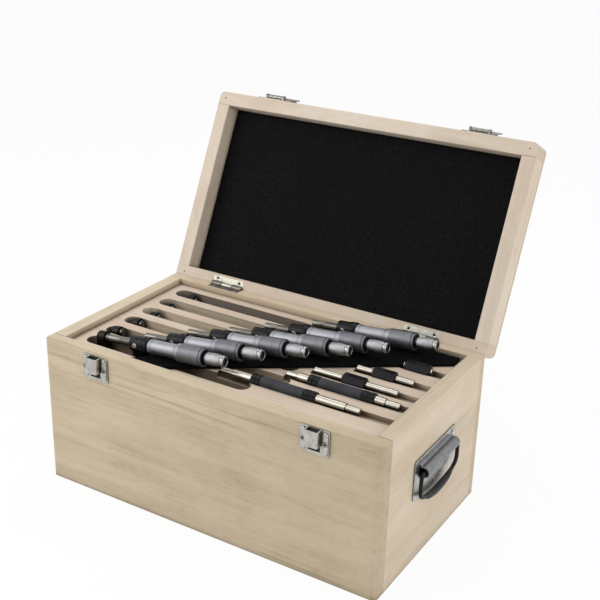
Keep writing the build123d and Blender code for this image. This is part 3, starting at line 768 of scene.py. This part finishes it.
# The hasp hanging shut: half widths, and Z from below to above.
RING_HALF, RING_Z, RING_Y = 10.0, (110.0, 136.8), (FRONT - 5.6, FRONT - 4.4)
WINDOW_HALF, WINDOW_Z = 6.6, (114.0, 131.3)
CURL_HALF, CURL_R, CURL_IN, CURL_AT = 4.2, 3.2, 2.0, (FRONT - 7.6, 110.6)
NECK_HALF, NECK_Z = 7.9, (135.6, 140.4)


def hasp_matrix():
    return lid_matrix() @ turned(*PIN, -HASP_LEAN)


def hasp(side, x, sheet):
    """Pressed ring, its barrel on the latch's pin and a curled finger tab at the free end."""
    outer = rounded_loop(x - RING_HALF, x + RING_HALF, *RING_Z, 3.0)
    inner = rounded_loop(x - WINDOW_HALF, x + WINDOW_HALF, *WINDOW_Z, 1.6)
    count = len(outer)
    verts = [(a, y, c) for loop in (outer, inner) for y in RING_Y for a, c in loop]
    front, back, window_front, window_back = (k * count for k in range(4))
    faces = (band(front, window_front, count) + band(window_back, back, count)
             + band(back, front, count) + band(window_front, window_back, count))
    first = len(verts)
    turns = arc(0, -165, 16)
    for t in turns:
        verts += [(x + way * CURL_HALF, CURL_AT[0] + r * cos(t), CURL_AT[1] + r * sin(t))
                  for way, r in ((-1, CURL_R), (1, CURL_R), (1, CURL_IN), (-1, CURL_IN))]
    last = len(verts) - 4
    for i in range(first, last, 4):
        faces += band(i, i + 4, 4)
    faces += [tuple(range(first, first + 4))[::-1], tuple(range(last, last + 4))]
    ring = piece("hasp_ring_" + side, verts, faces, [sheet], hasp_matrix(), 35)
    ease(ring, 0.2)
    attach(ring, "latch_" + side)
    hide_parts("hasp_" + side)
    half = [(NECK_HALF, 1.1), (NECK_HALF, 2.0), (7.7, 2.2), (2.9, 2.2), (2.7, 1.9), (2.5, 2.2)]
    rows = [(-u, r) for u, r in half] + half[::-1]
    stand = lid_matrix() @ shift(x, *PIN)
    lathe("hasp_barrel_" + side, rows, [sheet], stand, 40, "latch_" + side)
    neck = rounded_box("hasp_neck_" + side, (x - NECK_HALF, RING_Y[0], NECK_Z[0]),
                       (x + NECK_HALF, FRONT - 4.2, NECK_Z[1]), 0.6, [sheet], hasp_matrix(), 0.8)
    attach(neck, "latch_" + side)


RIB_X, RIB_HALF, RIB_Z = 9.5, 2.3, (109.9, 128.7)
RIB_STRAIGHT, RIB_ROUND = 6.8, 2.6  # above and below the screw
# the dark sheet under each keeper's bridge, a painted shadow: its half width and Z from below to
# above
SHADOW_HALF, SHADOW_Z = 5.0, (110.9, 116.4)


def keeper_ribs(sheet, dark):
    """Pressed swellings round each keeper's screws, and a dark sheet under its bridge: a painted
    shadow.
    """
    for side, x in zip(("left", "right"), LATCH_X):
        for end, way in (("a", -1), ("b", 1)):
            middle = x + way * RIB_X
            rib = rounded_box(f"keeper_{side}_rib_{end}",
                              (middle - RIB_HALF, FRONT - RIB_FACE, RIB_Z[0]),
                              (middle + RIB_HALF, FRONT - 0.5, RIB_Z[1]), 0.5, [sheet],
                              cells=0.4, shape=rib_end)
            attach(rib, "case")
        # thin dark sheet on the plate under the bridge: painted shadow
        shadow_piece = rounded_box(f"keeper_{side}_shadow_sheet", (x - SHADOW_HALF, FRONT - 1.06, SHADOW_Z[0]),
                              (x + SHADOW_HALF, FRONT - 0.9, SHADOW_Z[1]), 0.05, [dark])
        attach(shadow_piece, "case")


def rib_end(x, y, z):
    """Round a rib's two ends."""
    middle = min((c + s * RIB_X for c in LATCH_X for s in (-1, 1)), key=lambda m: abs(x - m))
    over = abs(z - KEEPER_Z) - RIB_STRAIGHT
    if over > 0:
        k = over / RIB_ROUND
        x = middle + (x - middle) * ((1 - k * k) ** 0.5 if k < 1 else 0.12)
    return x, y, z


def hardware():
    """Keepers, hinges, hasps and handles."""
    bright = plated("nickel_sheet", srgb(190, 187, 180), 0.3)
    hinge = plated("nickel_hinge", srgb(166, 163, 152), 0.4)
    # darker copy of the hinges' nickel for the case's leaves: painted shade
    shaded_leaf_nickel = plated("nickel_leaf_painted_shade", srgb(116, 113, 105), 0.4)
    # darker copy of the nickel for the latches and pins: painted shade
    shaded_nickel = plated("nickel_painted_shade", srgb(128, 126, 120), 0.3)
    sheet = plated("zinc_sheet", srgb(186, 185, 182), 0.34)
    # darker copy of the zinc for the handles' barrels: painted shade
    barrel = plated("zinc_barrel_painted_shade", srgb(132, 133, 136), 0.42)
    dress("keepers", bright, 0.25)
    keeper_ribs(bright, enamel("keeper_painted_shadow", (0.010, 0.008, 0.007), 0.6))
    dress("case_hinge_leaves", shaded_leaf_nickel, 0.25)
    dress("lid_hinge_leaves", hinge, 0.25)
    dress("latch_bases", shaded_nickel, 0.15)
    for side, x in zip(("left", "right"), LATCH_X):
        hasp(side, x, shaded_nickel)
    for name in ("hinge_pins", "latch_pins"):
        dress(name, shaded_nickel, 0.12)
    wire = enamel("black_wire", (0.006, 0.006, 0.0065), 0.32)
    rubber = enamel("black_grip", (0.022, 0.022, 0.023), 0.36)
    for side, sign in (("left", -1), ("right", 1)):
        bail_and_grip(side, sign, wire, rubber)
        plate_and_barrel(side, sign, sheet, barrel)


# ---- micrometers ----
def sleeve_rows():
    """Plain barrel with a raised bead beside the frame's boss."""
    r = SLEEVE_R
    return [(BOSS_RIGHT + 0.2, SPINDLE_R + 0.3), (BOSS_RIGHT + 0.2, r - 0.2), (BOSS_RIGHT + 0.4, r),
            (-52.6, r + 0.25), (-52.3, r + 0.55), (-51.3, r + 0.55), (-51.0, r), (-2.6, r),
            (-2.3, r - 0.3), (-2.3, SPINDLE_R + 0.3)]


def thimble_rows():
    """Satin bevel (slot 1), ringed drum (slot 0) and the sunk end in painted shade (slot 2)."""
    rim = THIMBLE_R
    rows = [(-2.0, SLEEVE_R + 0.08), (-THIMBLE_L, SLEEVE_R + 0.08), (-THIMBLE_L, 6.55),
            (-THIMBLE_L + 0.2, 6.75), (-THIMBLE_L + 4.9, rim - 0.05), (-THIMBLE_L + 5.2, rim)]
    rows += [(-9.6, rim), (-9.5, rim - 0.12), (-9.1, rim - 0.12), (-9.0, rim), (-2.5, rim),
             (-2.4, rim - 0.1), (-2.2, rim - 0.5), (-1.7, rim - 0.5), (-1.5, rim - 0.1),
             (-1.4, rim), (-0.6, rim), (-0.2, rim - 0.2), (0.0, rim - 0.6), (0.0, rim - 1.5)]
    rows = [(x, r, 1 if -THIMBLE_L < x < -THIMBLE_L + 5 else 0) for x, r in rows]
    return rows + [(-1.1, rim - 1.9, 2), (-1.1, 4.0, 2), (-1.1, 0.0, 2)]


KNURL_X, KNURL_L = 2.2, 13.9
KNURL_TEETH, KNURL_PITCH, KNURL_DEPTH = 20, 5.2, 0.032


def ratchet_rows():
    """Neck, knurled barrel (slot 1), bright end ring (slot 0) and sunk disc in painted shade (slot
    2).
    """
    rows, steps = [(-1.0, 3.9), (1.3, 3.9), (1.5, 4.3), (1.9, 4.5)], 34
    for i in range(steps + 1):
        x = KNURL_X + KNURL_L * i / steps
        rows.append((x, 4.62 + 0.46 * sin(pi * (i / steps) ** 0.9), 1))
    rows += [(16.3, 4.5), (16.8, 4.35), (17.0, 4.7), (17.3, 4.85), (18.6, 4.8),
             (19.2, 4.6), (19.6, 4.1), (19.6, 3.1), (19.45, 2.95)]
    return rows + [(18.9, 2.85, 2), (18.9, 1.5, 2), (19.1, 1.3, 2), (19.1, 0.0, 2)]


def diamond(x, turn):
    """Two crossing sets of fine threads."""
    if not 2.4 < x < 16.0:
        return 1.0
    round_way, along = KNURL_TEETH * turn, KNURL_PITCH * x
    return 1.0 + KNURL_DEPTH * sin(round_way + along) * sin(round_way - along)


def wrapped(name, shapes, radius, mats, matrix, body):
    """Flat polygons in (along, round) millimetres wrapped just above a turned surface."""
    verts, faces = [], []
    for shape, origin in shapes:
        faces.append(tuple(range(len(verts), len(verts) + len(shape))))
        for u, s in shape:
            r = radius(u)
            turn = origin + s / r
            verts.append((u, -r * sin(turn), r * cos(turn)))
    obj = piece(name, verts, faces, mats, matrix, 40)
    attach(obj, body)


def tick(u, s0, s1):
    """Line round the axis at u, as a strip of short quads."""
    cuts = max(1, ceil(abs(s1 - s0) / 0.6))
    steps = [s0 + (s1 - s0) * i / cuts for i in range(cuts + 1)]
    left, right = u - LINE_HALF, u + LINE_HALF
    return [[(left, a), (right, a), (right, b), (left, b)] for a, b in zip(steps, steps[1:])]


# The strokes of each figure, in a frame one wide and two high.
STROKES = {
    "0": [[(0, 0), (1, 0), (1, 2), (0, 2), (0, 0)]],
    "1": [[(0.5, 0), (0.5, 2)]],
    "2": [[(0, 2), (1, 2), (1, 1), (0, 1), (0, 0), (1, 0)]],
    "3": [[(0, 2), (1, 2), (1, 0), (0, 0)], [(0.2, 1), (1, 1)]],
    "4": [[(0, 2), (0, 1), (1, 1)], [(1, 2), (1, 0)]],
    "5": [[(1, 2), (0, 2), (0, 1), (1, 1), (1, 0), (0, 0)]],
}


def digits(text, u, s, size):
    """Engraved figures drawn with straight strokes, their foot at (u, s)."""
    quads, half_pen = [], 0.065 * size
    for i, char in enumerate(text):
        for stroke in STROKES[char]:
            path = [(u + (i * 1.5 + x) * size * 0.55, s + y * size * 0.55) for x, y in stroke]
            for (ax, ay), (bx, by) in zip(path, path[1:]):
                k = half_pen / hypot(bx - ax, by - ay)
                dx, dy = (bx - ax) * k, (by - ay) * k
                quads.append([(ax - dx - dy, ay - dy + dx), (ax - dx + dy, ay - dy - dx),
                              (bx + dx + dy, by + dy - dx), (bx + dx - dy, by + dy + dx)])
    return quads


SCALE_TURN = radians(24)  # the reading line leans towards the latches
LINE_HALF = 0.05
RANGE_MM, DIVISIONS = 25, 50
SCALE_END = -2.5  # the sleeve's marks stop short of the thimble's right end


def sleeve_scale(body, mats, matrix):
    """Reading line with 1 mm marks above and half-millimetre marks below it."""
    ends = (-46.0, SCALE_END)
    quads = [[(u, -LINE_HALF) for u in ends] + [(u, LINE_HALF) for u in ends[::-1]]]
    for k in range(RANGE_MM + 1):
        u = -THIMBLE_L + k
        if u < SCALE_END - 0.1:
            quads += tick(u, 0.0, 2.2 if k % 5 == 0 else 1.3)
        if k < RANGE_MM and u + 0.5 < SCALE_END - 0.1:
            quads += tick(u + 0.5, -1.2, 0.0)
        if k % 5 == 0 and u < -5:
            quads += digits(str(k), u - 0.4, 2.5, 1.3)
    wrapped(body + "_scale", [(q, SCALE_TURN) for q in quads], lambda u: SLEEVE_R + 0.015, mats,
            matrix, body)


def bevel_radius(u):
    """Just above the thimble's bevel."""
    return 6.75 + (THIMBLE_R - 6.8) * min(1.0, max(0.0, (u + THIMBLE_L - 0.2) / 4.7)) + 0.03


def thimble_scale(body, mats, matrix):
    """Fifty divisions round the bevelled edge, longer every five and figured every ten."""
    shapes = []
    for k in range(DIVISIONS):
        turn = SCALE_TURN - 2 * pi * k / DIVISIONS
        far = 3.0 if k % 5 == 0 else 1.9
        u = -THIMBLE_L + 0.25
        shapes.append(([(u, -0.055), (u + far, -0.055), (u + far, 0.055), (u, 0.055)], turn))
        if k % 10 == 0:
            shapes += [(q, turn) for q in digits(str(k), u + 3.25, -0.6, 1.15)]
    wrapped(body + "_scale", shapes, bevel_radius, mats, matrix, body)


def micrometer(n, kit):
    """Micrometer n's pieces."""
    name, spindle_body, thimble_body = (
        f"{kind}_{n + 1}" for kind in ("micrometer", "spindle", "thimble"))
    place, anvil = seat(n), SPINDLE_TIP - RANGE_STEP * n
    dress(name + "_frame", kit["enamel"], 0.3)
    sleeve = lathe(name + "_barrel", sleeve_rows(), [kit["sleeve"]], place, 72, name)
    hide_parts(name + "_sleeve")
    rows = [(SPINDLE_TIP, 0.0), (SPINDLE_TIP, 2.9), (SPINDLE_TIP + 0.35, SPINDLE_R),
            (-86.2, SPINDLE_R), (-86.0, SPINDLE_R - 0.1), (-85.6, SPINDLE_R - 0.1),
            (-85.4, SPINDLE_R), (-2.3, SPINDLE_R), (-2.3, 0.0)]
    spindle = lathe(spindle_body + "_rod", rows, [kit["ground"]], place, 48, spindle_body)
    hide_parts(name + "_spindle")
    mats = [kit[key] for key in ("thimble", "sleeve", "disc")]
    thimble = lathe(thimble_body + "_drum", thimble_rows(), mats, place, 96, thimble_body)
    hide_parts(name + "_thimble")
    mats = [kit[key] for key in ("end", "knurl", "disc")]
    lathe(thimble_body + "_ratchet", ratchet_rows(), mats, place, 160, thimble_body, diamond, 50)
    rows = [(anvil - 3.2, SPINDLE_R + 0.06), (anvil - 0.3, SPINDLE_R + 0.06),
            (anvil + 0.01, 2.95), (anvil + 0.01, 0.0)]
    lathe(name + "_anvil", rows, [kit["ground"]], place, 40, name)
    rows = [(-61.2, 6.7), (-61.2, 7.1), (-60.8, 7.3), (-59.2, 7.3), (-58.9, 7.0),
            (-58.6, 7.0), (-58.3, 7.3), (-55.4, 7.3), (-54.7, 6.9), (-54.6, 6.1)]
    lathe(name + "_ring", rows, [kit["enamel"]], place, 72, name, groove)
    rows = [(5.9, 2.2), (7.3, 2.2), (7.7, 1.9), (7.8, 1.2), (7.5, 1.1), (7.5, 0.0)]
    aside = (place @ shift(-66.0, 0, 0) @ Matrix.Rotation(radians(-90), 4, "Z")
             @ Matrix.Rotation(radians(-8), 4, "Y"))
    lathe(name + "_lock", rows, [kit["end"]], aside, 32, name)
    sleeve_scale(name, [kit["ink"]], place)
    thimble_scale(thimble_body, [kit["ink"]], place)


def groove(x, turn):
    """Fine teeth round the lock ring's wider half."""
    return 1.0 + 0.012 * sin(36 * turn) if -58.2 < x < -55.5 else 1.0


def micrometers():
    kit = {
        "enamel": enamel("frame_black", (0.0030, 0.0032, 0.0031), 0.34),
        "sleeve": satin("sleeve_chrome", srgb(146, 147, 151), 0.5, 0.2, 0.06),
        "thimble": satin("thimble_chrome", srgb(110, 111, 115), 0.52, 0.12, 0.08),
        # spindles and anvils: dark tone partly painted shade, and the 11 mm reach paints shade
        # where they lie in the slots
        "ground": satin("ground_steel", srgb(112, 108, 102), 0.34, 0.1, 0.08, 11.0),
        "knurl": plated("knurled_chrome", srgb(146, 147, 149), 0.36),
        "end": plated("polished_chrome", srgb(160, 160, 161), 0.26),
        # near-black fill for the sunk ends of thimbles and ratchets: painted shade
        "disc": enamel("sunk_end_painted_shade", (0.008, 0.008, 0.009), 0.4),
        "ink": enamel("filled_lines", (0.01, 0.01, 0.01), 0.6),
    }
    for n in range(6):
        micrometer(n, kit)


# ---- setting standards ----
# Each kind of part: its radius, the rounding of its edges and its number of sides.
KINDS = {
    "r": (2.9, 0.35, 48),  # bare rod
    "R": (3.8, 0.35, 48),  # thicker rod
    "b": (5.0, 0.35, 96),  # knurled collar
    "g": (4.85, 0.5, 48),  # grip
    "h": (5.485, 0.9, 6),  # hexagon
}


def collar_knurl(x, turn):
    return 1.0 + 0.03 * sin(24 * turn)


def standard(size, kit):
    """One setting standard, built from left to right."""
    x, y, kinds, lengths = STANDARDS[size]
    place, body = shift(0, y, STANDARD_Z), f"standard_{size}"
    for i, (kind, length) in enumerate(zip(kinds, lengths)):
        end, (r, edge, steps) = x + length, KINDS[kind]
        rows, knurl = [(x, 0.0), (x, r - edge), (x + edge, r), (end - edge, r),
                       (end, r - edge), (end, 0.0)], None
        if kind == "b":
            rows, knurl = collar_rows(x, end, r), collar_knurl
        lathe(f"{body}_{i + 1}", rows, [kit[kind]], place, steps, body, knurl, 30)
        x = end
    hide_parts(body)


def collar_rows(x0, x1, r):
    """Collar with a groove round its middle."""
    middle, low = (x0 + x1) / 2, r - 0.35
    return [(x0, 0.0), (x0, r - 0.5), (x0 + 0.4, r), (middle - 0.5, r),
            (middle - 0.3, low), (middle + 0.3, low), (middle + 0.5, r),
            (x1 - 0.4, r), (x1, r - 0.5), (x1, 0.0)]


def standards():
    # the 9 mm reach paints shade on the rods' lower flanks over the tray
    rod = satin("standard_rod", srgb(172, 167, 156), 0.3, 0.3, 0.08, 9.0)
    kit = {
        "r": rod,
        "R": rod,
        "b": enamel("collar_black", (0.004, 0.004, 0.004), 0.35),
        "g": enamel("grip_grey", srgb(50, 52, 57), 0.5),
        "h": enamel("hexagon_black", (0.0052, 0.0038, 0.0060), 0.3),
    }
    for size in STANDARDS:
        standard(size, kit)


# ---- camera, light and floor ----
# Fitted to the corners of case and lid: metres, and degrees round, up and of roll.
CAMERA_AT, CAMERA_TURN = (0.44419, -0.68759, 0.51947), (30.89, 22.96, 1.59)
FOCAL_PX, PICTURE_PX, SENSOR_MM = 1096.3, 600.0, 36.0


def camera():
    data = bpy.data.cameras.new("camera")
    data.sensor_width = SENSOR_MM
    data.sensor_fit = "HORIZONTAL"
    data.lens = FOCAL_PX * SENSOR_MM / PICTURE_PX
    data.clip_start = 0.05
    az, el, roll = (radians(a) for a in CAMERA_TURN)
    back = Vector((sin(az) * cos(el), -cos(az) * cos(el), sin(el)))
    level = Vector((cos(az), sin(az), 0))
    lift = back.cross(level)
    right = cos(roll) * level + sin(roll) * lift
    up = -sin(roll) * level + cos(roll) * lift
    turn = Matrix((right, up, back)).transposed().to_4x4()
    bpy.context.scene.camera = placed("camera", data, Matrix.Translation(CAMERA_AT) @ turn)


# Each lamp: its place, its target, the side of its square and its power.
LAMPS = {
    "key": ((-0.65, -0.6, 0.75), (0, 0, 0.1), 0.7, 5.6),
    "top": ((-0.2, 0.5, 1.5), (0, 0, 0.1), 0.9, 5.5),
    "side": ((1.25, 0.0, 0.42), (0.16, 0, 0.07), 0.7, 5.2),
}
WORLD_LIT, WORLD_SEEN = 0.52, 1.0  # the world's strength as light, and as background
FLOOR_HALF, FLOOR_GLOW = 4, 0.93


def area(name, at, target, size, power):
    data = bpy.data.lights.new(name, "AREA")
    data.shape = "RECTANGLE"
    data.size = data.size_y = size
    data.energy = power
    turn = (Vector(at) - Vector(target)).to_track_quat("Z", "Y").to_matrix().to_4x4()
    placed(name, data, Matrix.Translation(at) @ turn)


def seen_rays(tree):
    """1 for camera, mirror and glass rays, 0 for light that falls on the object."""
    path = tree.nodes.new("ShaderNodeLightPath")
    total = path.outputs["Is Camera Ray"]
    for ray in ("Is Glossy Ray", "Is Transmission Ray"):
        node = tree.nodes.new("ShaderNodeMath")
        node.operation = "MAXIMUM"
        tree.links.new(total, node.inputs[0])
        tree.links.new(path.outputs[ray], node.inputs[1])
        total = node.outputs[0]
    return total


def studio():
    """White world and three lamps."""
    bpy.context.scene.view_settings.view_transform = "Standard"
    world = bpy.context.scene.world = bpy.data.worlds.new("studio")
    world.use_nodes = True
    tree = world.node_tree
    tree.nodes.clear()
    out = tree.nodes.new("ShaderNodeOutputWorld")
    mix = tree.nodes.new("ShaderNodeMixShader")
    tree.links.new(seen_rays(tree), mix.inputs[0])
    for i, strength in ((1, WORLD_LIT), (2, WORLD_SEEN)):
        light = tree.nodes.new("ShaderNodeBackground")
        light.inputs["Color"].default_value = (1, 1, 1, 1)
        light.inputs["Strength"].default_value = strength
        tree.links.new(light.outputs[0], mix.inputs[i])
    tree.links.new(mix.outputs[0], out.inputs[0])
    for name, setting in LAMPS.items():
        area(name, *setting)


def floor():
    """White ground that takes a soft shadow."""
    mesh = bpy.data.meshes.new("floor")
    corners = ((-1, -1), (1, -1), (1, 1), (-1, 1))
    mesh.from_pydata([(x * FLOOR_HALF, y * FLOOR_HALF, 0) for x, y in corners], [], [(0, 1, 2, 3)])
    s = Shader("floor_white", (0.9, 0.9, 0.9), 0.9)
    s.color(s.ramp(s.noise(s.coords(), 3.0), [(0.0, (0.89,) * 3), (1.0, (0.91,) * 3)]))
    glow = s.add("ShaderNodeEmission", Color=(1, 1, 1, 1), Strength=1.0)
    share = s.math("MULTIPLY", seen_rays(s.tree), FLOOR_GLOW)
    mix = s.add("ShaderNodeMixShader", Fac=share, i1=s.bsdf.outputs[0], i2=glow.outputs[0])
    s.put(s.tree.nodes["Material Output"], "Surface", mix.outputs[0])
    mesh.materials.append(s.mat)
    obj = placed("floor", mesh)


# ---- run ----
camera()
studio()
floor()
dress_wood()
nails()
lid_lining()
thimble_strip()
all_screws()
hardware()
micrometers()
standards()
